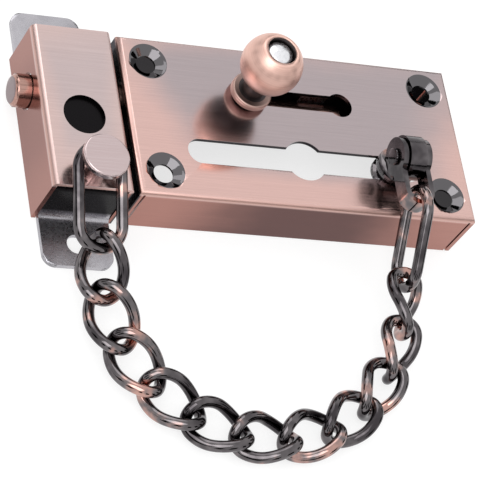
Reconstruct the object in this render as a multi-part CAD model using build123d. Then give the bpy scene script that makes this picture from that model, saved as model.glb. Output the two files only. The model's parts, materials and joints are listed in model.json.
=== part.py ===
from build123d import *
import math
import os

# Door chain with a sliding bolt, lying on its back.
# X runs along the case, Y up the door, Z out of the door.
# z = 0 is the face of the door and its frame.
# Pieces are drawn about the middle of the case, then moved.
# The origin ends up midway between the keeper's two screws.

# Case: one folded sheet, open at the back
case_length = 100.0
case_height = 48.6
case_depth = 16.8
sheet = 1.2
fold_radius = 1.5
corner_seam = 0.6
screw_inset_x = 8.0
screw_inset_y = 7.4
screw_hole_d = 5.6
sink_d = 11.3
sink_depth = 2.4
sink_land = 0.6
sink_wall = 0.9

# Bolt and its slot
bolt_d = 9.0
bolt_from_top = 15.3
bolt_below_face = 8.5
bolt_clear = 0.25
bolt_throw = 28.0
bolt_slot_width = 5.2
slot_end_d = 7.4
bolt_past_keeper = 4.5
bolt_behind_knob = 31.0
bolt_chamfer = 1.0
strap_width = 8.0
strap_foot = 4.0
strap_left_x = -28.0
strap_right_x = 9.0

# Knob: a sleeve on a headed spindle, held in by a spring
spindle_d = 4.0
spindle_head_d = 7.2
spindle_head_height = 1.6
spindle_depth = 5.0
knob_clear = 0.1
knob_lift = 1.4
knob_seat_depth = 1.1
knob_collar_d = 11.4
knob_collar_height = 1.9
knob_collar_radius = 0.6
knob_neck_d = 6.4
knob_ball_d = 16.8
knob_ball_height = 14.2
knob_face_d = 9.8
knob_rim_radius = 0.5
knob_well_d = 8.0
knob_well_depth = 9.0
spring_wire = 0.6
spring_turns = 4
spring_clear = 0.25

# Chain slot and the slider that runs in it
slot_from_edge = 14.3
slot_width = 7.5
slot_length = 69.2
entry_d = 12.2
slider_rest_x = 27.0
slider_clear = 0.35
slider_flange_d = 11.2
slider_flange = 1.6
tongue_width = 5.0
tongue_d = 12.0
tongue_root_inset = 0.75
pin_out = 8.4
pin_drop = 1.5
pin_d = 3.0
pin_clear = 0.1
pin_head_d = 4.6
pin_head = 0.7

# Stirrup: a strap bent to a U round the tongue
stirrup_sheet = 1.4
stirrup_play = 0.4
stirrup_eye_d = 10.6
stirrup_strap = 5.0
stirrup_reach = 14.7
stirrup_fall = 1.8

# Keeper: a sheet cover over a hat-shaped bracket
keeper_gap = 2.0
keeper_width = 22.4
keeper_depth = 17.5
keeper_bolt_clear = 0.5
keeper_window_d = 11.7
keeper_window_from_edge = 21.8
bracket_sheet = 1.5
bracket_play = 0.15
bracket_inset = 0.3
ear_length = 14.8
ear_corner = 3.5
ear_hole_inset = 6.6
bracket_bend = 1.5

# Stud on the keeper that holds the chain's fixed end
stud_from_edge = 3.8
stud_neck_d = 6.0
stud_head_d = 12.5
stud_head = 1.8
stud_rim_radius = 0.45
stud_tail_d = 3.0

# Chain
wire_d = 3.1
wire_clear = 0.4
link_gap = 0.9
link_count = 11
link_length = 17.4
link_width = 11.2
link_twist = 104.0
left_roll = 36.0
right_roll = 45.0
long_length = 26.5
long_width = 12.0
left_slope = 24.0
end_lean = 3.0
chain_z = 4.8
chain_fall_power = 3
bend_steps = 60

front_z = case_depth
inner_z = case_depth - sheet
lower_edge = -case_height / 2
bolt_y = case_height / 2 - bolt_from_top
bolt_z = case_depth - bolt_below_face
slot_y = lower_edge + slot_from_edge
stud_y = lower_edge + stud_from_edge
keeper_window_y = lower_edge + keeper_window_from_edge
bracket_half = case_height / 2 - bracket_inset
ear_tip = bracket_half + ear_length
keeper_right_x = -case_length / 2 - keeper_gap
keeper_x = keeper_right_x - keeper_width / 2
keeper_inner_z = keeper_depth - sheet
knob_x = -bolt_throw / 2
knob_base = front_z + knob_lift
knob_face = knob_base + knob_ball_height + math.sqrt((knob_ball_d / 2) ** 2 - (knob_face_d / 2) ** 2)
touch = wire_d + link_gap


def cylinder_x(diameter, x_from, x_to, y, z):
    """Round bar along X."""
    plane = Plane((x_from, y, z), x_dir=(0, 1, 0), z_dir=(1, 0, 0))
    return extrude(plane * Circle(diameter / 2), x_to - x_from)


def cylinder_z(diameter, z_from, z_to, x, y):
    """Round bar along Z."""
    return extrude(Plane((x, y, z_from)) * Circle(diameter / 2), z_to - z_from)


def block(x_from, x_to, y_from, y_to, z_from, z_to):
    """Box between two corners."""
    middle = ((x_from + x_to) / 2, (y_from + y_to) / 2, (z_from + z_to) / 2)
    return Pos(*middle) * Box(x_to - x_from, y_to - y_from, z_to - z_from)


def slot_tool(width, length, x, y, z_from, z_to):
    """Round-ended slot along X, length measured over its ends."""
    return extrude(Plane((x, y, z_from)) * SlotOverall(length, width), z_to - z_from)


def edges_along(part, axis, test):
    """Edges parallel to an axis whose middle passes a test."""
    return [e for e in part.edges().filter_by(axis) if test(e.center())]


def make_case():
    half_l = case_length / 2
    half_h = case_height / 2
    shell = block(-half_l, half_l, -half_h, half_h, 0, front_z)
    shell = fillet(shell.faces().sort_by(Axis.Z)[-1].edges(), fold_radius)
    hollow = block(-half_l + sheet, half_l - sheet, -half_h + sheet, half_h - sheet, -sheet, inner_z)
    hollow = fillet(hollow.faces().sort_by(Axis.Z)[-1].edges(), fold_radius - sheet)
    shell -= hollow
    screw_x = half_l - screw_inset_x
    screw_y = half_h - screw_inset_y
    for sx in (-1, 1):
        for sy in (-1, 1):
            at = Pos(sx * screw_x, sy * screw_y, front_z - sink_depth / 2)
            shell += at * Cone(screw_hole_d / 2 + sink_wall, sink_d / 2 + sink_wall, sink_depth)
            cone_depth = sink_depth - sink_land
            cone = Cone(screw_hole_d / 2, sink_d / 2, cone_depth)
            shell -= Pos(sx * screw_x, sy * screw_y, front_z - cone_depth / 2) * cone
            shell -= at * Cylinder(screw_hole_d / 2, sink_depth)
            seam_x = sx * (half_l - sheet - corner_seam / 2)
            seam_y = sy * (half_h - sheet / 2)
            seam = Box(corner_seam, 2 * sheet, front_z - fold_radius)
            shell -= Pos(seam_x, seam_y, (front_z - fold_radius) / 2) * seam
    shell -= slot_tool(bolt_slot_width, bolt_throw + bolt_slot_width, 0, bolt_y, inner_z, front_z)
    for sx in (-1, 1):
        shell -= cylinder_z(slot_end_d, inner_z, front_z, sx * bolt_throw / 2, bolt_y)
    shell -= slot_tool(slot_width, slot_length, 0, slot_y, inner_z, front_z)
    shell -= cylinder_z(entry_d, inner_z, front_z, 0, slot_y)
    shell -= cylinder_x(bolt_d + 2 * bolt_clear, -half_l - sheet, -half_l + 2 * sheet, bolt_y, bolt_z)
    return shell


def make_strap(x):
    """Guide strap that carries the bolt from behind, with two feet welded under the case's face."""
    inner_r = bolt_d / 2 + bolt_clear
    outer_r = inner_r + sheet
    plane = Plane((x - strap_width / 2, bolt_y, bolt_z), x_dir=(0, 1, 0), z_dir=(1, 0, 0))
    leg = inner_z - bolt_z
    foot_span = 2 * (outer_r + strap_foot)
    outline = Circle(outer_r) + Pos(0, leg / 2) * Rectangle(2 * outer_r, leg)
    outline += Pos(0, leg - sheet / 2) * Rectangle(foot_span, sheet)
    opening = Circle(inner_r) + Pos(0, leg / 2) * Rectangle(2 * inner_r, leg)
    return extrude(plane * (outline - opening), strap_width)


def make_bolt():
    tip_x = keeper_right_x - keeper_width - bolt_past_keeper
    rear_x = knob_x + bolt_behind_knob
    rod = cylinder_x(bolt_d, tip_x, rear_x, bolt_y, bolt_z)
    rod = chamfer(rod.edges().filter_by(GeomType.CIRCLE), bolt_chamfer)
    top = bolt_z + bolt_d / 2
    return rod - cylinder_z(spindle_d, top - spindle_depth, top, knob_x, bolt_y)


def make_spindle():
    foot = bolt_z + bolt_d / 2 - spindle_depth
    head = knob_face - knob_lift - spindle_head_height
    stem = cylinder_z(spindle_d, foot, head, knob_x, bolt_y)
    button = cylinder_z(spindle_head_d, head - spindle_head_height, head, knob_x, bolt_y)
    dome_r = (spindle_head_d / 2) ** 2 / (2 * spindle_head_height) + spindle_head_height / 2
    dome = Pos(knob_x, bolt_y, head + spindle_head_height - dome_r) * Sphere(dome_r)
    cap = cylinder_z(spindle_head_d, head, head + spindle_head_height, knob_x, bolt_y)
    return stem + button + (dome & cap)


def make_knob():
    """Sleeve with a ball, a collar and a neck, drawn out of its seat in the slot's round end."""
    base, face = knob_base, knob_face
    ball_r = knob_ball_d / 2
    ball_z = base + knob_ball_height
    ball = Pos(knob_x, bolt_y, ball_z) * Sphere(ball_r)
    ball &= cylinder_z(2 * knob_ball_d, ball_z - ball_r, face, knob_x, bolt_y)
    ball = fillet(ball.edges().filter_by(GeomType.CIRCLE).sort_by(Axis.Z)[-1], knob_rim_radius)
    collar = cylinder_z(knob_collar_d, base, base + knob_collar_height, knob_x, bolt_y)
    collar = fillet(collar.edges().sort_by(Axis.Z)[-1], knob_collar_radius)
    neck = cylinder_z(knob_neck_d, base - knob_seat_depth, ball_z, knob_x, bolt_y)
    body = ball + collar + neck
    body -= cylinder_z(spindle_d + 2 * knob_clear, base - knob_seat_depth, face, knob_x, bolt_y)
    return body - cylinder_z(knob_well_d, face - knob_well_depth, face, knob_x, bolt_y)


def make_spring():
    """Coil between the floor of the knob's well and the spindle's head."""
    low = knob_face - knob_well_depth + spring_wire / 2 + spring_clear
    head = knob_face - knob_lift - 2 * spindle_head_height
    height = head - spring_clear - spring_wire / 2 - low
    coil_r = (spindle_d + knob_well_d) / 4
    path = Helix(pitch=height / spring_turns, height=height, radius=coil_r)
    profile = Plane(path @ 0, z_dir=path % 0) * Circle(spring_wire / 2)
    return Pos(knob_x, bolt_y, low) * sweep(profile, path=path, is_frenet=True)


def pin_place():
    """Centre of the cross pin in the slider's tongue."""
    return Vector(slider_rest_x, slot_y - pin_drop, front_z + pin_out)


def make_slider():
    x, y = slider_rest_x, slot_y
    neck_d = slot_width - 2 * slider_clear
    rear_top = inner_z - slider_clear
    front_low = front_z + slider_clear
    front_top = front_low + slider_flange
    body = cylinder_z(slider_flange_d, rear_top - slider_flange, rear_top, x, y)
    body += cylinder_z(neck_d, rear_top - slider_flange, front_top, x, y)
    body += cylinder_z(slider_flange_d, front_low, front_top, x, y)
    pin = pin_place()
    half = tongue_width / 2
    tongue = cylinder_x(tongue_d, x - half, x + half, pin.Y, pin.Z)
    root_half = slider_flange_d / 2 - tongue_root_inset
    root = block(x - half, x + half, y - root_half, y + root_half, front_top - slider_flange / 2, pin.Z)
    body += tongue + root
    return body - cylinder_x(pin_d, x - half, x + half, pin.Y, pin.Z)


def stirrup_half():
    """Half the clear width inside the stirrup."""
    return tongue_width / 2 + stirrup_play


def stirrup_plane():
    """Plane of the stirrup's U: its Y runs from the bow to the pin."""
    fall = math.radians(stirrup_fall)
    return Plane(pin_place(), x_dir=(1, 0, 0), z_dir=(0, -math.sin(fall), math.cos(fall)))


def bow_centre():
    """Middle of the strap at the bottom of the stirrup's U."""
    plane = stirrup_plane()
    return plane.origin - plane.y_dir * stirrup_reach


def make_stirrup():
    plane = stirrup_plane()
    inner = stirrup_half()
    outer = inner + stirrup_sheet
    bend = -(stirrup_reach + stirrup_sheet / 2) + outer
    eye_r = stirrup_eye_d / 2
    leg = eye_r - bend
    middle = (bend + eye_r) / 2
    u_shape = Pos(0, bend) * Circle(outer) + Pos(0, middle) * Rectangle(2 * outer, leg)
    u_space = Pos(0, bend) * Circle(inner) + Pos(0, middle) * Rectangle(2 * inner, leg)
    band = plane * extrude(u_shape - u_space, stirrup_eye_d / 2, both=True)
    side = Plane(plane.origin - Vector(outer, 0, 0), x_dir=plane.y_dir, z_dir=(1, 0, 0))
    far = stirrup_reach + stirrup_sheet
    outline = Circle(eye_r) + Pos(-far / 2, 0) * Rectangle(far, stirrup_strap)
    band &= extrude(side * outline, 2 * outer)
    return band - cylinder_x(pin_d + 2 * pin_clear, -case_length, case_length, plane.origin.Y, plane.origin.Z)


def make_stirrup_pin():
    pin = pin_place()
    reach = stirrup_half() + stirrup_sheet + pin_clear
    body = cylinder_x(pin_d, pin.X - reach, pin.X + reach, pin.Y, pin.Z)
    body += cylinder_x(pin_head_d, pin.X - reach - pin_head, pin.X - reach, pin.Y, pin.Z)
    body += cylinder_x(pin_head_d, pin.X + reach, pin.X + reach + pin_head, pin.Y, pin.Z)
    return body


def make_keeper_cover():
    half_w = keeper_width / 2
    half_h = case_height / 2
    cover = block(keeper_x - half_w, keeper_x + half_w, -half_h, half_h, 0, keeper_depth)
    cover = fillet(edges_along(cover, Axis.Y, lambda c: c.Z > keeper_inner_z), fold_radius)
    inside = half_w - sheet
    hollow = block(keeper_x - inside, keeper_x + inside, -case_height, case_height, -sheet, keeper_inner_z)
    cover -= hollow
    bore = bolt_d + 2 * keeper_bolt_clear
    cover -= cylinder_x(bore, keeper_x - keeper_width, keeper_x + keeper_width, bolt_y, bolt_z)
    cover -= cylinder_z(keeper_window_d, 0, keeper_depth, keeper_x, keeper_window_y)
    return cover - cylinder_z(stud_tail_d, 0, keeper_depth, keeper_x, stud_y)


def make_keeper_bracket():
    """Strip bent to a hat: two ears on the frame's face, two walls and a web under the cover."""
    width = keeper_width - 2 * sheet - 2 * bracket_play
    top, t = keeper_inner_z, bracket_sheet
    half, inner = bracket_half, bracket_half - bracket_sheet
    tight, wide = bracket_bend, bracket_bend + bracket_sheet
    outside = [(-ear_tip, t), (-half, t), (-half, top), (half, top), (half, t), (ear_tip, t)]
    inside = [(ear_tip, 0), (inner, 0), (inner, top - t), (-inner, top - t), (-inner, 0), (-ear_tip, 0)]
    upper = FilletPolyline(*outside, radius=[tight, wide, wide, tight])
    lower = FilletPolyline(*inside, radius=[wide, tight, tight, wide])
    tips = [Line(outside[-1], inside[0]), Line(inside[-1], outside[0])]
    plane = Plane((keeper_x - width / 2, 0, 0), x_dir=(0, 1, 0), z_dir=(1, 0, 0))
    hat = extrude(plane * make_face([upper, lower] + tips), width)
    hat = fillet(edges_along(hat, Axis.Z, lambda c: abs(c.Y) > ear_tip - t), ear_corner)
    for sy in (-1, 1):
        hat -= cylinder_z(screw_hole_d, 0, t, keeper_x, sy * (ear_tip - ear_hole_inset))
    return hat - cylinder_z(stud_tail_d, 0, top, keeper_x, stud_y)


def stud_wire_z():
    """Height of the wire where the long link hangs on the stud: clear of the keeper's lower edge."""
    slope = math.radians(left_slope)
    run = stud_y + stud_neck_d / 2 + wire_clear + wire_d / 2 + case_height / 2
    return keeper_depth + wire_clear + wire_d / 2 / math.cos(slope) + run * math.tan(slope)


def make_stud():
    head_low = stud_wire_z() + wire_d / 2 + wire_clear
    body = cylinder_z(stud_neck_d, keeper_depth, head_low, keeper_x, stud_y)
    head = cylinder_z(stud_head_d, head_low, head_low + stud_head, keeper_x, stud_y)
    body += fillet(head.edges().sort_by(Axis.Z)[-1], stud_rim_radius)
    return body + cylinder_z(stud_tail_d, keeper_inner_z - bracket_sheet, keeper_depth, keeper_x, stud_y)


def aim(yaw, slope):
    """Direction that runs down the door, turned by yaw towards +X and falling by slope."""
    yaw, slope = math.radians(yaw), math.radians(slope)
    return Vector(math.sin(yaw) * math.cos(slope), -math.cos(yaw) * math.cos(slope), -math.sin(slope))


def left_top():
    """Wire centre at the upper bend of the left long link."""
    y = stud_y + stud_neck_d / 2 + wire_clear + wire_d / 2
    return Vector(keeper_x, y, stud_wire_z())


def right_slope():
    """Fall of the right long link, in degrees, that lets its lower leg clear the case's front edge."""
    bow = bow_centre()
    across = fold_radius - case_height / 2 - bow.Y
    below = bow.Z - (front_z - fold_radius)
    need = long_width / 2 + wire_d / 2 + wire_clear + fold_radius
    return math.degrees(math.atan2(across, below) + math.acos(need / math.hypot(across, below)))


def right_top():
    """Wire centre at the upper bend of the right long link, round the stirrup's strap."""
    slope = math.radians(right_slope() - stirrup_fall)
    corner_u = stirrup_sheet / 2 * math.cos(slope) + stirrup_strap / 2 * math.sin(slope)
    corner_v = stirrup_strap / 2 * math.cos(slope) - stirrup_sheet / 2 * math.sin(slope)
    bend_r = long_width / 2
    space_r = bend_r - wire_d / 2 - wire_clear
    rise = corner_u - math.sqrt(space_r**2 - corner_v**2) + bend_r
    return bow_centre() - aim(-end_lean, right_slope()) * rise


def pivots():
    """Points where the chain's links meet, from the left long link to the right one."""
    inward = long_length - touch / 2
    first = left_top() + aim(end_lean, left_slope) * inward
    last = right_top() + aim(-end_lean, right_slope()) * inward
    middle = (link_count + 1) / 2
    heights = []
    for i in range(link_count + 1):
        end_z = first.Z if i < middle else last.Z
        share = abs(i + 0.5 - middle) / (middle - 0.5)
        heights.append(chain_z + (end_z - chain_z) * share**chain_fall_power)
    pitch = link_length - touch
    plan = [math.sqrt(pitch**2 - (b - a) ** 2) for a, b in zip(heights, heights[1:])]
    span = math.hypot(last.X - first.X, last.Y - first.Y)

    def chord(bend):
        turns = [(i - (link_count - 1) / 2) * bend for i in range(link_count)]
        x = sum(p * math.cos(t) for p, t in zip(plan, turns))
        y = sum(p * math.sin(t) for p, t in zip(plan, turns))
        return x, y

    low, high = 0.0, 2 * math.pi / link_count
    for _ in range(bend_steps):
        bend = (low + high) / 2
        if math.hypot(*chord(bend)) > span:
            low = bend
        else:
            high = bend
    x, y = chord(bend)
    start = math.atan2(last.Y - first.Y, last.X - first.X) - math.atan2(y, x)
    points = [first]
    for i, step in enumerate(plan):
        turn = start + (i - (link_count - 1) / 2) * bend
        at = points[-1]
        points.append(Vector(at.X + step * math.cos(turn), at.Y + step * math.sin(turn), heights[i + 1]))
    return points


def arc_pair(start, start_dir, finish, finish_dir):
    """Two arcs that meet smoothly, from one point and direction to another."""
    way = finish - start
    both = way.dot(start_dir + finish_dir)
    spread = 2 * (1 - start_dir.dot(finish_dir))
    arm = (math.sqrt(both**2 + spread * way.dot(way)) - both) / spread
    near = start + start_dir * arm
    far = finish - finish_dir * arm
    middle = (near + far) * 0.5
    return [TangentArc(start, middle, tangent=start_dir), TangentArc(middle, finish, tangent=far - near)]


def make_link():
    """One link of round wire: an oval twisted about its long axis, in two like halves of four arcs."""
    half_twist = math.radians(link_twist) / 2
    end = Vector(link_length / 2, 0, 0)
    end_dir = Vector(0, math.cos(half_twist), -math.sin(half_twist))
    top = Vector(0, link_width / 2, 0)
    top_dir = Vector(-link_length / 2, 0, link_width / 2 * half_twist).normalized()
    last_dir = Vector(0, -math.cos(half_twist), -math.sin(half_twist))
    arcs = arc_pair(end, end_dir, top, top_dir) + arc_pair(top, top_dir, end * -1, last_dir)
    half = sweep(Plane(end, z_dir=end_dir) * Circle(wire_d / 2), path=Wire(arcs))
    return half + half.rotate(Axis.X, 180)


def make_long_link():
    """Long plain link in its XY plane, upper bend's wire centre at the origin, running along -Y."""
    bend_r = long_width / 2
    straight = long_length - long_width
    side = Plane((bend_r, -bend_r, 0), z_dir=(0, 1, 0)) * Circle(wire_d / 2)
    leg = extrude(side, -straight)
    turn = revolve(side, Axis((0, -bend_r, 0), (0, 0, 1)), 180)
    upper = turn + leg + leg.mirror(Plane.YZ)
    return upper + turn.mirror(Plane.XZ).moved(Pos(0, -long_length, 0))


def place_link(link, start, finish, roll):
    """Set a link between two pivots, rolled about its own length."""
    along = (finish - start).normalized()
    side = Vector(0, 0, 1).cross(along).normalized()
    up = along.cross(side)
    angle = math.radians(roll)
    normal = up * math.cos(angle) - side * math.sin(angle)
    return link.moved(Location(Plane((start + finish) * 0.5, x_dir=along, z_dir=normal)))


def place_long(link, top, direction, flat):
    """Set a long link by its upper bend and direction, lying flat or standing on edge."""
    across = direction.cross(Vector(0, 0, 1)).normalized()
    normal = across.cross(direction) if flat else across
    x_dir = (direction * -1).cross(normal)
    return link.moved(Location(Plane(top, x_dir=x_dir, z_dir=normal)))


nodes = {
    "case": make_case(),
    "bolt_strap_left": make_strap(strap_left_x),
    "bolt_strap_right": make_strap(strap_right_x),
    "bolt": make_bolt(),
    "knob_spindle": make_spindle(),
    "knob": make_knob(),
    "knob_spring": make_spring(),
    "slider": make_slider(),
    "stirrup": make_stirrup(),
    "stirrup_pin": make_stirrup_pin(),
    "keeper_cover": make_keeper_cover(),
    "keeper_bracket": make_keeper_bracket(),
    "chain_stud": make_stud(),
}
long_link = make_long_link()
nodes["long_link_left"] = place_long(long_link, left_top(), aim(end_lean, left_slope), True)
nodes["long_link_right"] = place_long(long_link, right_top(), aim(-end_lean, right_slope()), False)
chain_pivots = pivots()
chain_link = make_link()
for i in range(link_count):
    from_middle = (2 * i - link_count + 1) / (link_count - 1)
    roll = right_roll * from_middle if from_middle > 0 else -left_roll * from_middle
    placed = place_link(chain_link, chain_pivots[i], chain_pivots[i + 1], roll)
    nodes[f"link_{i + 1:02d}"] = placed

os.makedirs("parts", exist_ok=True)
for name, shape in nodes.items():
    export_step(shape.moved(Pos(-keeper_x, 0, 0)), f"parts/{name}.step")
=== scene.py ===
import bpy
import bmesh
import json
import math
from mathutils import Matrix, Vector


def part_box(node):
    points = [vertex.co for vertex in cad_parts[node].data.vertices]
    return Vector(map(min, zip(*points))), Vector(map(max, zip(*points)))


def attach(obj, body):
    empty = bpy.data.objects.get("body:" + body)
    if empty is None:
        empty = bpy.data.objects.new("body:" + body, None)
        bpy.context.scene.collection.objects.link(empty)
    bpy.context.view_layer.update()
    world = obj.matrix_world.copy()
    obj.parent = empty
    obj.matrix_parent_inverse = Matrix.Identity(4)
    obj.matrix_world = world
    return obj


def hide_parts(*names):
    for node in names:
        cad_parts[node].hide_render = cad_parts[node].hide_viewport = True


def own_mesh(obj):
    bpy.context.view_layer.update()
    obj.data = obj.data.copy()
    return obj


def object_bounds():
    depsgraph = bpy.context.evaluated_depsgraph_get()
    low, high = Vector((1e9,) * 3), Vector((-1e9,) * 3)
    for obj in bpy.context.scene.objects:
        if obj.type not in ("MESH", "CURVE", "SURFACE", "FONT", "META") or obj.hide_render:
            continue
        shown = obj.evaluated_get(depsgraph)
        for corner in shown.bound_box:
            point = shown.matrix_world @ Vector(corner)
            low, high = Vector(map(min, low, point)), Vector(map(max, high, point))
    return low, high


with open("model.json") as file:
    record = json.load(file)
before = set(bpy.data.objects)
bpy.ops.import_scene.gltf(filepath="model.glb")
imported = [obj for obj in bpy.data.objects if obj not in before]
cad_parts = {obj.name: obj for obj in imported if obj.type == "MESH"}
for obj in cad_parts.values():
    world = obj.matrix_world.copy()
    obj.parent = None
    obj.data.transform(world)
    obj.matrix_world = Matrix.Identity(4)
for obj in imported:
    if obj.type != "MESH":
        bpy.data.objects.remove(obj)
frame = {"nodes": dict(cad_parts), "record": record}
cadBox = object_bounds()
nodes = frame["nodes"]
scene = bpy.context.scene
scene.view_settings.view_transform = "Standard"
print("frame loaded:", len(nodes), "nodes")

bodyOf = {name: body for body, names in frame["record"]["behaviour"]["bodies"].items() for name in names}
white = (1.0, 1.0, 1.0)
noiseMiddle = 0.5  # the noise swings about this value


def newObject(name, data):
    obj = bpy.data.objects.new(name, data)
    scene.collection.objects.link(obj)
    return obj


def newMaterial(name):
    mat = bpy.data.materials.new(name)
    mat.use_nodes = True
    tree = mat.node_tree
    tree.nodes.clear()
    out = tree.nodes.new("ShaderNodeOutputMaterial")
    shader = tree.nodes.new("ShaderNodeBsdfPrincipled")
    shader.inputs["Metallic"].default_value = 1.0
    tree.links.new(shader.outputs["BSDF"], out.inputs["Surface"])
    return mat, tree, shader


def objectCoords(tree):
    return tree.nodes.new("ShaderNodeTexCoord").outputs["Object"]


def splitOf(tree, coords):
    node = tree.nodes.new("ShaderNodeSeparateXYZ")
    tree.links.new(coords, node.inputs[0])
    return node.outputs


def noiseOf(tree, coords, scale, detail, roughness=0.6):
    mapping = tree.nodes.new("ShaderNodeMapping")
    mapping.inputs["Scale"].default_value = scale
    noise = tree.nodes.new("ShaderNodeTexNoise")
    noise.inputs["Scale"].default_value = 1.0
    noise.inputs["Detail"].default_value = detail
    noise.inputs["Roughness"].default_value = roughness
    tree.links.new(coords, mapping.inputs["Vector"])
    tree.links.new(mapping.outputs["Vector"], noise.inputs["Vector"])
    return noise.outputs["Fac"]


def rampOf(tree, fac, span, low, high):
    node = tree.nodes.new("ShaderNodeValToRGB")
    for element, place, colour in zip(node.color_ramp.elements, span, (low, high)):
        element.position = place
        element.color = (*colour, 1.0)
    tree.links.new(fac, node.inputs["Fac"])
    return node.outputs["Color"]


def mixOf(tree, fac, a, b, blend="MIX"):
    node = tree.nodes.new("ShaderNodeMix")
    node.data_type = "RGBA"
    node.blend_type = blend
    # a Mix node's colours go in at 6 and 7 and come out at 2
    for socket, value in ((node.inputs[0], fac), (node.inputs[6], a), (node.inputs[7], b)):
        if isinstance(value, tuple):
            socket.default_value = (*value, 1.0)
        elif isinstance(value, float):
            socket.default_value = value
        else:
            tree.links.new(value, socket)
    return node.outputs[2]


def mathOf(tree, operation, a, b=0.0):
    node = tree.nodes.new("ShaderNodeMath")
    node.operation = operation
    for socket, value in zip(node.inputs, (a, b)):
        if isinstance(value, float):
            socket.default_value = value
        else:
            tree.links.new(value, socket)
    return node.outputs[0]


def timesOf(tree, product, *others):
    for other in others:
        product = mathOf(tree, "MULTIPLY", product, other)
    return product


def swingOf(tree, noise, reach):
    return timesOf(tree, mathOf(tree, "SUBTRACT", noise, noiseMiddle), reach)


def rangeOf(tree, value, low, high, toLow=0.0, toHigh=1.0):
    node = tree.nodes.new("ShaderNodeMapRange")
    node.interpolation_type = "SMOOTHSTEP"
    for name, number in (("From Min", low), ("From Max", high), ("To Min", toLow), ("To Max", toHigh)):
        node.inputs[name].default_value = number
    tree.links.new(value, node.inputs["Value"])
    return node.outputs["Result"]


def bumpInto(tree, shader, height, strength, distance):
    bump = tree.nodes.new("ShaderNodeBump")
    bump.inputs["Strength"].default_value = strength
    bump.inputs["Distance"].default_value = distance
    tree.links.new(height, bump.inputs["Height"])
    tree.links.new(bump.outputs["Normal"], shader.inputs["Normal"])


# 1 for the rays that show the white surround: straight to the camera, mirrored or let through
def backdropRays(tree):
    path = tree.nodes.new("ShaderNodeLightPath")
    seen = path.outputs["Is Camera Ray"]
    for ray in ("Is Glossy Ray", "Is Transmission Ray"):
        seen = mathOf(tree, "MAXIMUM", seen, path.outputs[ray])
    return seen


# brushed copper sheet: mauve in the middle of a face and pink at the folds, partly rubbed wear and partly
# painted reflection; warm copper on the folds, partly wear and partly a painted highlight; brown on the
# sides, deepened by painted shade towards their middles; painted black shade inside
copperSheet = {
    "middle": (0.47, 0.40, 0.41),
    # pink towards the face's edges: partly rubbed wear, partly painted reflection
    "edge": (0.76, 0.51, 0.465),
    "edgeSpan": (0.55, 1.0),  # shares of the way from a face's middle to its edge
    "reflectionLean": (-0.10, -0.28),  # painted reflection: the face is lighter towards -X and -Y
    "patches": ((26.0, 30.0, 40.0), 3.0),  # noise: scale along X, Y and Z, then detail, then any roughness
    "patchReach": 0.5,
    "side": (0.42, 0.20, 0.165),
    # painted shade: the sides darken towards their middles
    "sideShadeMiddle": (0.13, 0.06, 0.055),
    "sideSpan": (0.25, 0.9),
    "sideDepth": (0.0012, 0.0024),
    # the folds' warm copper is partly wear and partly a painted highlight
    "foldWearSheen": (0.58, 0.35, 0.30),
    "foldMost": 0.8,
    "foldDepth": 0.0009,
    "foldReach": (0.0022, 0.0012),
    "foldRough": 0.38,
    "foldSkin": (0.00001, 0.00012),
    "brush": ((45.0, 3800.0, 3800.0), 6.0, 0.7),
    "brushDark": (0.86, 0.86, 0.86),
    "brushSpan": (0.25, 0.75),
    # painted shade on the surfaces inside the walls
    "inside": (0.03, 0.027, 0.03),
    "wall": 0.00115,
    "faceSkin": 0.00012,  # lower than this within the walls counts as inside
    # painted shade in the countersinks, which are dark grey
    "sinkShade": (0.13, 0.124, 0.13),
    "sinkRough": 0.05,
    "sinkCorner": (0.71, 0.41),  # shares of the half length and half height
    "sinkDepth": (0.0018, 0.0022),
    "gapShadeSide": -1.0,  # painted shade on the wall that faces the other piece across the narrow gap
    "gapDepth": (0.0010, 0.0022),
    "gapReach": (0.0007, 0.0002),
    "rough": (0.13, 0.24),
    "roughSpan": (0.2, 0.8),
    "anisotropy": 0.4,
    "bump": (0.06, 0.00005),
}


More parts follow.
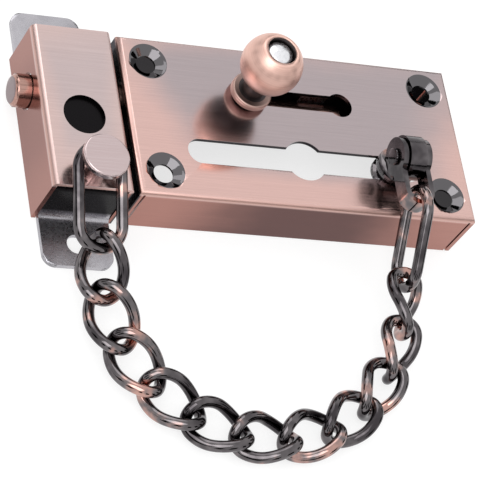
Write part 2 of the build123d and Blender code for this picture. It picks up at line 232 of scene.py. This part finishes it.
def copperSheetMaterial(name, box, spec):
    mat, tree, shader = newMaterial(name)
    coords = objectCoords(tree)
    middle, half = (box[0] + box[1]) / 2, (box[1] - box[0]) / 2
    x, y, z = splitOf(tree, coords)
    alongX = mathOf(tree, "SUBTRACT", x, middle.x)
    alongY = mathOf(tree, "SUBTRACT", y, middle.y)
    depth = mathOf(tree, "SUBTRACT", box[1].z, z)
    offX = mathOf(tree, "ABSOLUTE", alongX)
    offY = mathOf(tree, "ABSOLUTE", alongY)
    shareX = mathOf(tree, "DIVIDE", offX, half.x)
    shareY = mathOf(tree, "DIVIDE", offY, half.y)
    wander = swingOf(tree, noiseOf(tree, coords, *spec["patches"]), spec["patchReach"])

    # face and sides: the face's pink towards its edges is partly rubbed wear and partly painted
    # reflection, its lightening towards -X and -Y is painted reflection, and the sides' darkening towards
    # their middles is painted shade
    nearEdge = mathOf(tree, "ADD", mathOf(tree, "MAXIMUM", shareX, shareY), wander)
    for along, reach, reflectionLean in zip((alongX, alongY), half, spec["reflectionLean"]):
        nearEdge = mathOf(tree, "ADD", nearEdge, timesOf(tree, along, reflectionLean / reach))
    face = mixOf(tree, rangeOf(tree, nearEdge, *spec["edgeSpan"]), spec["middle"], spec["edge"])
    farAlong = mathOf(tree, "ADD", timesOf(tree, shareX, shareY), wander)
    side = mixOf(tree, rangeOf(tree, farAlong, *spec["sideSpan"]), spec["sideShadeMiddle"], spec["side"])
    sideShare = rangeOf(tree, depth, *spec["sideDepth"])
    colour = mixOf(tree, sideShare, face, side)

    # folds in warm copper: partly worn copper, partly a painted highlight of the fold catching light
    fromFold = mathOf(tree, "ABSOLUTE", mathOf(tree, "SUBTRACT", depth, spec["foldDepth"]))
    foldShare = rangeOf(tree, fromFold, 0.0, spec["foldDepth"], spec["foldMost"], 0.0)
    foldFrom, foldTo = spec["foldReach"]
    rimX = rangeOf(tree, offX, half.x - foldFrom, half.x - foldTo)
    rimY = rangeOf(tree, offY, half.y - foldFrom, half.y - foldTo)
    rim = mathOf(tree, "MAXIMUM", rimX, rimY)
    colour = mixOf(tree, timesOf(tree, foldShare, rim), colour, spec["foldWearSheen"])

    # brush marks along X
    streaks = noiseOf(tree, coords, *spec["brush"])
    streakTint = rampOf(tree, streaks, spec["brushSpan"], spec["brushDark"], white)
    colour = mixOf(tree, 1.0, colour, streakTint, "MULTIPLY")

    # painted shade: near-black inside the walls, with polished grey countersinks
    inX = mathOf(tree, "LESS_THAN", offX, half.x - spec["wall"])
    inY = mathOf(tree, "LESS_THAN", offY, half.y - spec["wall"])
    inZ = mathOf(tree, "GREATER_THAN", depth, spec["faceSkin"])
    within = timesOf(tree, inX, inY, inZ)
    colour = mixOf(tree, within, colour, spec["inside"])
    sunkX = mathOf(tree, "GREATER_THAN", shareX, spec["sinkCorner"][0])
    sunkY = mathOf(tree, "GREATER_THAN", shareY, spec["sinkCorner"][1])
    sunkZ = rangeOf(tree, depth, *spec["sinkDepth"], 1.0, 0.0)
    sunk = timesOf(tree, sunkX, sunkY, sunkZ, within)
    colour = mixOf(tree, sunk, colour, spec["sinkShade"])

    # painted shade on the wall across the gap
    outX = timesOf(tree, alongX, spec["gapShadeSide"])
    gapFrom, gapTo = spec["gapReach"]
    gapShade = rangeOf(tree, outX, half.x - gapFrom, half.x - gapTo)
    belowFold = rangeOf(tree, depth, *spec["gapDepth"])
    colour = mixOf(tree, timesOf(tree, gapShade, belowFold), colour, spec["inside"])
    tree.links.new(colour, shader.inputs["Base Color"])

    # gloss: dull on the folds, sharpest in the countersinks
    rough = rangeOf(tree, streaks, *spec["roughSpan"], *spec["rough"])
    rounded = timesOf(tree, rim, rangeOf(tree, depth, *spec["foldSkin"]))
    rounded = timesOf(tree, rounded, mathOf(tree, "SUBTRACT", 1.0, sideShare))
    rough = mathOf(tree, "MAXIMUM", rough, timesOf(tree, rounded, spec["foldRough"]))
    polish = rangeOf(tree, sunk, 0.0, 1.0, 1.0, spec["sinkRough"])
    rough = mathOf(tree, "MINIMUM", rough, polish)
    tree.links.new(rough, shader.inputs["Roughness"])
    shader.inputs["Anisotropic"].default_value = spec["anisotropy"]
    bumpInto(tree, shader, streaks, *spec["bump"])
    return mat


# solid turned pieces in the same copper finish
copperTurned = {
    "light": (0.84, 0.56, 0.48),
    "deep": (0.72, 0.45, 0.38),
    "toneSpan": (0.3, 0.65),
    # painted shade colour for the neck and the bore
    "dark": (0.09, 0.075, 0.075),
    "neck": None,  # painted shade under the head: heights over the foot between which it darkens, and between which it lightens again
    "well": None,  # radius of a bore on the piece's own axis, painted dark as shade
    "end": None,  # how deep the worn face at the -X end reaches, and its colour
    "rough": (0.16, 0.28),
    "roughSpan": (0.2, 0.8),
    "bump": (0.05, 0.00004),
}


def copperTurnedMaterial(name, box, spec):
    mat, tree, shader = newMaterial(name)
    coords = objectCoords(tree)
    low, middle = box[0], (box[0] + box[1]) / 2
    x, y, z = splitOf(tree, coords)
    streaks = noiseOf(tree, coords, *spec["brush"])
    colour = mixOf(tree, rangeOf(tree, streaks, *spec["toneSpan"]), spec["deep"], spec["light"])
    # painted shade on the neck under the head
    if spec["neck"]:
        (darkFrom, darkTo), (lightFrom, lightTo) = spec["neck"]
        above = rangeOf(tree, z, low.z + darkFrom, low.z + darkTo)
        below = rangeOf(tree, z, low.z + lightFrom, low.z + lightTo, 1.0, 0.0)
        colour = mixOf(tree, timesOf(tree, above, below), colour, spec["dark"])
    # painted shade in the bore
    if spec["well"]:
        offX = mathOf(tree, "SUBTRACT", x, middle.x)
        offY = mathOf(tree, "SUBTRACT", y, middle.y)
        squares = mathOf(tree, "ADD", timesOf(tree, offX, offX), timesOf(tree, offY, offY))
        inWell = mathOf(tree, "LESS_THAN", mathOf(tree, "SQRT", squares), spec["well"])
        colour = mixOf(tree, inWell, colour, spec["dark"])
    if spec["end"]:
        endReach, endColour = spec["end"]
        atEnd = mathOf(tree, "LESS_THAN", x, low.x + endReach)
        colour = mixOf(tree, atEnd, colour, endColour)
    tree.links.new(colour, shader.inputs["Base Color"])
    rough = rangeOf(tree, streaks, *spec["roughSpan"], *spec["rough"])
    tree.links.new(rough, shader.inputs["Roughness"])
    bumpInto(tree, shader, streaks, *spec["bump"])
    return mat


# black nickel with copper rubbed through in places
blackNickel = {
    "base": (0.19, 0.175, 0.18),
    "deep": (0.055, 0.049, 0.053),
    "cloud": ((90.0, 90.0, 90.0), 3.0),
    "cloudSpan": (0.35, 0.65),
    "rub": (0.52, 0.31, 0.265),
    "rubSpan": (0.54, 0.68),
    "fine": ((1500.0, 1500.0, 1500.0), 4.0),
    "fineReach": 0.05,
    "coverShade": (0.012, 0.011, 0.012),
    "coverShadeSpan": None,  # heights between which painted shade turns the finish black
    "rough": (0.06, 0.12),
    "roughSpan": (0.3, 0.7),
    "bump": (0.05, 0.00004),
}


def blackNickelMaterial(name, spec):
    mat, tree, shader = newMaterial(name)
    coords = objectCoords(tree)
    cloud = noiseOf(tree, coords, *spec["cloud"])
    fine = noiseOf(tree, coords, *spec["fine"])
    shade = mixOf(tree, rangeOf(tree, cloud, *spec["cloudSpan"]), spec["deep"], spec["base"])
    wear = mathOf(tree, "ADD", cloud, swingOf(tree, fine, spec["fineReach"]))
    colour = mixOf(tree, rangeOf(tree, wear, *spec["rubSpan"]), shade, spec["rub"])
    # painted shade: black where the piece lies under the cover
    if spec["coverShadeSpan"]:
        under = rangeOf(tree, splitOf(tree, coords)[2], *spec["coverShadeSpan"])
        colour = mixOf(tree, under, colour, spec["coverShade"])
    tree.links.new(colour, shader.inputs["Base Color"])
    rough = rangeOf(tree, fine, *spec["roughSpan"], *spec["rough"])
    tree.links.new(rough, shader.inputs["Roughness"])
    bumpInto(tree, shader, fine, *spec["bump"])
    return mat


# plain steel: bright on the spindle and the spring, and dull and near-black on the guide further down,
# where the near-black is painted shade seen through the slot
brightSteel = {
    "deep": (0.76, 0.76, 0.79),
    "light": (0.88, 0.88, 0.90),
    "grain": ((1200.0, 1200.0, 1200.0), 3.0),
    "grainSpan": (0.3, 0.7),
    "rough": (0.24, 0.34),
    "bump": None,
}


def plainSteelMaterial(name, spec):
    mat, tree, shader = newMaterial(name)
    grain = noiseOf(tree, objectCoords(tree), *spec["grain"])
    tint = rampOf(tree, grain, spec["grainSpan"], spec["deep"], spec["light"])
    tree.links.new(tint, shader.inputs["Base Color"])
    rough = rangeOf(tree, grain, *spec["grainSpan"], *spec["rough"])
    tree.links.new(rough, shader.inputs["Roughness"])
    if spec["bump"]:
        bumpInto(tree, shader, grain, *spec["bump"])
    return mat


caseCopper = copperSheetMaterial("caseCopper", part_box("case"), copperSheet)
keeperTone = {
    **copperSheet,
    "middle": (0.62, 0.505, 0.50),
    "edge": (0.72, 0.54, 0.51),
    "edgeSpan": (0.35, 1.0),
    # painted shade on the keeper's sides and across its gap, as on the case
    "side": (0.35, 0.155, 0.125),
    "sideShadeMiddle": (0.28, 0.12, 0.10),
    "gapShadeSide": 1.0,
}
keeperCopper = copperSheetMaterial("keeperCopper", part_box("keeper_cover"), keeperTone)
boltTone = {
    **copperTurned,
    "light": (0.50, 0.30, 0.255),
    "deep": (0.36, 0.21, 0.175),
    "brush": ((60.0, 3000.0, 3000.0), 4.0),
    "end": (0.0001, (0.24, 0.185, 0.19)),  # the nose's face is worn grey
}
boltCopper = copperTurnedMaterial("boltCopper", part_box("bolt"), boltTone)
knobTone = {
    **copperTurned,
    "brush": ((30.0, 30.0, 7000.0), 4.0),
    "neck": ((0.0024, 0.0034), (0.0085, 0.0135)),  # painted shade on the neck under the head and in the bore
    "well": 0.00405,
    "rough": (0.34, 0.46),
}
knobCopper = copperTurnedMaterial("knobCopper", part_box("knob"), knobTone)
studTone = {
    **copperTurned,
    "light": (0.60, 0.49, 0.49),
    "deep": (0.57, 0.455, 0.455),
    "brush": ((60.0, 2600.0, 600.0), 4.0),
}
studCopper = copperTurnedMaterial("studCopper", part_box("chain_stud"), studTone)
plateTone = {
    **blackNickel,
    "base": (0.50, 0.485, 0.515),
    "deep": (0.40, 0.39, 0.42),
    "rubSpan": (0.72, 0.84),
    "rough": (0.24, 0.34),
}
plateNickel = blackNickelMaterial("plateNickel", plateTone)
bracketTone = {**plateTone, "coverShadeSpan": (0.0026, 0.0046)}  # painted shade under the cover
bracketNickel = blackNickelMaterial("bracketNickel", bracketTone)
chainNickel = blackNickelMaterial("chainNickel", blackNickel)
brightDome = plainSteelMaterial("brightDome", brightSteel)
print("materials made")

# the chain's links, the slider, the stirrup and its pin are not listed, and take the chain's finish
finishes = {
    "case": caseCopper,
    "keeper_cover": keeperCopper,
    "bolt": boltCopper,
    "knob": knobCopper,
    "chain_stud": studCopper,
    "keeper_bracket": bracketNickel,
    "bolt_strap_left": plateNickel,
    "bolt_strap_right": plateNickel,
    "knob_spindle": brightDome,
    "knob_spring": brightDome,
}
smoothAngle = math.radians(32)
mergeDistance = 1e-6
normalWeight = 100  # large faces lead the shading of the edges beside them

# the countersinks' rims lie a hair proud of the rounded fold beside them, so they are welded down onto it
caseFold = {"node": "case", "radius": 0.0015, "reach": 0.00075, "step": 0.0003, "weld": 0.0006}


def easeFold(bm):
    low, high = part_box(caseFold["node"])
    radius = caseFold["radius"]
    middleY = (low.y + high.y) / 2
    flatHalf = (high.y - low.y) / 2 - radius

    def foldHeight(vert):
        over = abs(vert.co.y - middleY) - flatHalf
        if not 0 < over < caseFold["reach"] or vert.co.z < high.z - caseFold["step"]:
            return None
        return high.z - radius + math.sqrt(radius**2 - over**2)

    onFold = {vert: foldHeight(vert) for vert in bm.verts}
    onFold = {vert: height for vert, height in onFold.items() if height is not None}
    proud = [vert for vert, height in onFold.items() if vert.co.z > height + mergeDistance]
    for vert in proud:
        vert.co.z = onFold[vert]
    weldTo = {}
    for vert in proud:
        joined = [edge.other_vert(vert) for edge in vert.link_edges]
        below = [other for other in joined if other in onFold and other not in proud]
        if below:
            nearest = min(below, key=lambda other: (other.co - vert.co).length)
            if (nearest.co - vert.co).length < caseFold["weld"]:
                weldTo[vert] = nearest
    bmesh.ops.weld_verts(bm, targetmap=weldTo)
    bmesh.ops.dissolve_degenerate(bm, edges=bm.edges[:], dist=mergeDistance)
    bmesh.ops.triangulate(bm, faces=[face for face in bm.faces if len(face.verts) > 3])
    print("rims welded to the fold:", len(weldTo), "of", len(proud))


# the spindle's head stands nearly flush in the knob's face
spindleHead = {"node": "knob_spindle", "height": 0.0016, "skin": 0.00001, "rise": 0.0016, "flatten": 0.7}


def raiseHead(bm):
    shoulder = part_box(spindleHead["node"])[1].z - spindleHead["height"]
    for vert in bm.verts:
        above = vert.co.z - shoulder
        if above > -spindleHead["skin"]:
            vert.co.z = shoulder + spindleHead["rise"] + above * spindleHead["flatten"]


reshape = {caseFold["node"]: easeFold, spindleHead["node"]: raiseHead}


def shadeSmooth(mesh):
    mesh.polygons.foreach_set("use_smooth", [True] * len(mesh.polygons))
    mesh.set_sharp_from_angle(angle=smoothAngle)


def smoothCopy(name):
    mesh = nodes[name].data.copy()
    mesh.name = name + "_smooth"
    bm = bmesh.new()
    bm.from_mesh(mesh)
    bmesh.ops.remove_doubles(bm, verts=bm.verts, dist=mergeDistance)
    if name in reshape:
        reshape[name](bm)
    bm.to_mesh(mesh)
    bm.free()
    shadeSmooth(mesh)
    mesh.materials.clear()
    mesh.materials.append(finishes.get(name, chainNickel))
    piece = newObject(name + "_piece", mesh)
    weighted = piece.modifiers.new("weighted", "WEIGHTED_NORMAL")
    weighted.keep_sharp = True
    weighted.weight = normalWeight
    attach(piece, bodyOf[name])
    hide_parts(name)
    return piece


pieces = {name: smoothCopy(name) for name in nodes}
print("pieces dressed:", len(pieces))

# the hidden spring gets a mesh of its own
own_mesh(pieces["knob_spring"])

# folded channel behind the slot, in line with the two straps, which the bolt runs in; its near-black
# colour is painted shade seen through the slot
strapLeft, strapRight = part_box("bolt_strap_left"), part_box("bolt_strap_right")
boltGuide = {
    "rear": 0.0990,
    "walls": (0.00375, 0.01425),
    "web": 0.00295,
    "top": strapLeft[1].z,
    "thick": 0.0006,
    "bend": 0.0008,
    "bendSegments": 4,
    # painted shade: the guide is near-black
    "deep": (0.010, 0.0095, 0.010),
    "light": (0.030, 0.027, 0.027),
    "grain": ((900.0, 900.0, 900.0), 4.0),
    "grainSpan": (0.3, 0.7),
    "rough": (0.35, 0.55),
    "bump": (0.1, 0.00005),
}
guideShadeSteel = plainSteelMaterial("guideShadeSteel", boltGuide)


def makeGuide(name, fromX, toX, spec):
    lowY, highY = spec["walls"]
    section = ((lowY, spec["top"]), (lowY, spec["web"]), (highY, spec["web"]), (highY, spec["top"]))
    bm = bmesh.new()
    corners = [bm.verts.new((fromX, y, z)) for y, z in section]
    edges = [bm.edges.new(pair) for pair in zip(corners, corners[1:])]
    grown = bmesh.ops.extrude_edge_only(bm, edges=edges)["geom"]
    farVerts = [item for item in grown if isinstance(item, bmesh.types.BMVert)]
    bmesh.ops.translate(bm, vec=(toX - fromX, 0.0, 0.0), verts=farVerts)
    bmesh.ops.bevel(
        bm,
        geom=[edge for edge in bm.edges if len(edge.link_faces) == 2],
        offset=spec["bend"],
        offset_type="OFFSET",
        affect="EDGES",
        segments=spec["bendSegments"],
        profile=0.5,
        material=-1,
    )
    bmesh.ops.recalc_face_normals(bm, faces=bm.faces)
    bmesh.ops.solidify(bm, geom=bm.faces[:], thickness=spec["thick"])
    bmesh.ops.recalc_face_normals(bm, faces=bm.faces)
    mesh = bpy.data.meshes.new(name)
    bm.to_mesh(mesh)
    bm.free()
    shadeSmooth(mesh)
    mesh.materials.append(guideShadeSteel)
    piece = newObject(name, mesh)
    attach(piece, bodyOf["bolt_strap_left"])


# one length from strap to strap, and one from the second strap to the rear
guideRuns = ((strapLeft[1].x, strapRight[0].x), (strapRight[1].x, boltGuide["rear"]))
for index, (fromX, toX) in enumerate(guideRuns, start=1):
    makeGuide(f"boltGuide{index}", fromX, toX, boltGuide)
print("guides made:", len(guideRuns))

# studio: pale floor, white surround, two soft lamps and dark cards that the chain mirrors
studio = {
    "floorSize": (8.0, 8.0),
    "floorDrop": 0.0002,
    "floorColour": (0.33, 0.33, 0.33),
    "floorGlow": 0.72,
    "paintRough": 0.9,
    "world": 0.9,
    "lamp": (5.0, 0.8, (-0.55, -0.35, 0.95)),  # power, size, and place over the part's middle
    "fill": (2.0, 0.7, (-0.25, 0.85, 0.8)),
    "cardCount": 11,
    "cardSize": (0.21, 0.34),
    "cardDistance": 0.75,
    "cardLift": 0.02,
    "cardColour": (0.015, 0.015, 0.017),
}
centre = (cadBox[0] + cadBox[1]) / 2
floorZ = cadBox[0].z - studio["floorDrop"]


def stagePlane(name, size, place, turn, colour, glow):
    bm = bmesh.new()
    bmesh.ops.create_grid(bm, x_segments=1, y_segments=1, size=0.5)  # a metre wide
    bmesh.ops.scale(bm, vec=(*size, 1.0), verts=bm.verts)
    bmesh.ops.transform(bm, matrix=Matrix.Translation(place) @ turn, verts=bm.verts)
    mesh = bpy.data.meshes.new(name)
    bm.to_mesh(mesh)
    bm.free()
    mat, tree, shader = newMaterial(name + "Paint")
    shader.inputs["Metallic"].default_value = 0.0
    shader.inputs["Roughness"].default_value = studio["paintRough"]
    shader.inputs["Specular IOR Level"].default_value = 0.0
    shader.inputs["Base Color"].default_value = (*colour, 1.0)
    if glow:
        tree.links.new(timesOf(tree, backdropRays(tree), glow), shader.inputs["Emission Strength"])
        shader.inputs["Emission Color"].default_value = (*white, 1.0)
    mesh.materials.append(mat)
    obj = newObject(name, mesh)
    return obj


floorPlace = (centre.x, centre.y, floorZ)
level = Matrix.Identity(4)
stagePlane("floor", studio["floorSize"], floorPlace, level, studio["floorColour"], studio["floorGlow"])
cardStep = 2 * math.pi / studio["cardCount"]
cardZ = floorZ + studio["cardLift"] + studio["cardSize"][1] / 2
for index in range(studio["cardCount"]):
    around = cardStep * (index + 0.5)  # the ring starts half a step past +X
    away = Vector((math.cos(around), math.sin(around), 0)) * studio["cardDistance"]
    turn = Matrix.Rotation(around + math.pi / 2, 4, "Z") @ Matrix.Rotation(math.pi / 2, 4, "X")
    cardPlace = (centre.x + away.x, centre.y + away.y, cardZ)
    card = stagePlane(f"card{index}", studio["cardSize"], cardPlace, turn, studio["cardColour"], None)
    card.visible_camera = False
    card.visible_shadow = False
    card.visible_diffuse = False

world = bpy.data.worlds.new("studioWorld")
scene.world = world
world.use_nodes = True
sky = world.node_tree
background = sky.nodes["Background"]
skyStrength = rangeOf(sky, backdropRays(sky), 0.0, 1.0, studio["world"], 1.0)
sky.links.new(skyStrength, background.inputs["Strength"])
background.inputs["Color"].default_value = (*white, 1.0)

lampTarget = Vector((centre.x, centre.y, 0))
for lampName in ("lamp", "fill"):
    power, size, place = studio[lampName]
    light = bpy.data.lights.new(lampName, "AREA")
    light.energy = power
    light.size = size
    lampObj = newObject(lampName, light)
    lampObj.location = lampTarget + Vector(place)
    lampObj.rotation_euler = (-Vector(place)).to_track_quat("-Z", "Y").to_euler()
print("studio lit")

# camera from the photograph's perspective: long lens, rolled, from the lower left
photoView = {
    "lens": 201.15,
    "sensor": 36.0,
    "clip": (0.01, 50.0),
    "place": (-0.26013, -0.3615, 0.55359),
    "right": (0.89984, -0.15509, 0.40771),
    "down": (0.07094, -0.87019, -0.48758),
    "forward": (0.43041, 0.46766, -0.77204),
}
camData = bpy.data.cameras.new("photoCamera")
camData.lens = photoView["lens"]
camData.sensor_width = photoView["sensor"]
camData.clip_start, camData.clip_end = photoView["clip"]
camera = newObject("photoCamera", camData)
rightAxis = Vector(photoView["right"]).normalized()
upAxis = -Vector(photoView["down"]).normalized()
backAxis = -Vector(photoView["forward"]).normalized()
cameraTurn = Matrix((rightAxis, upAxis, backAxis)).transposed()
camera.matrix_world = Matrix.Translation(photoView["place"]) @ cameraTurn.to_4x4()
scene.camera = camera
print("camera set")
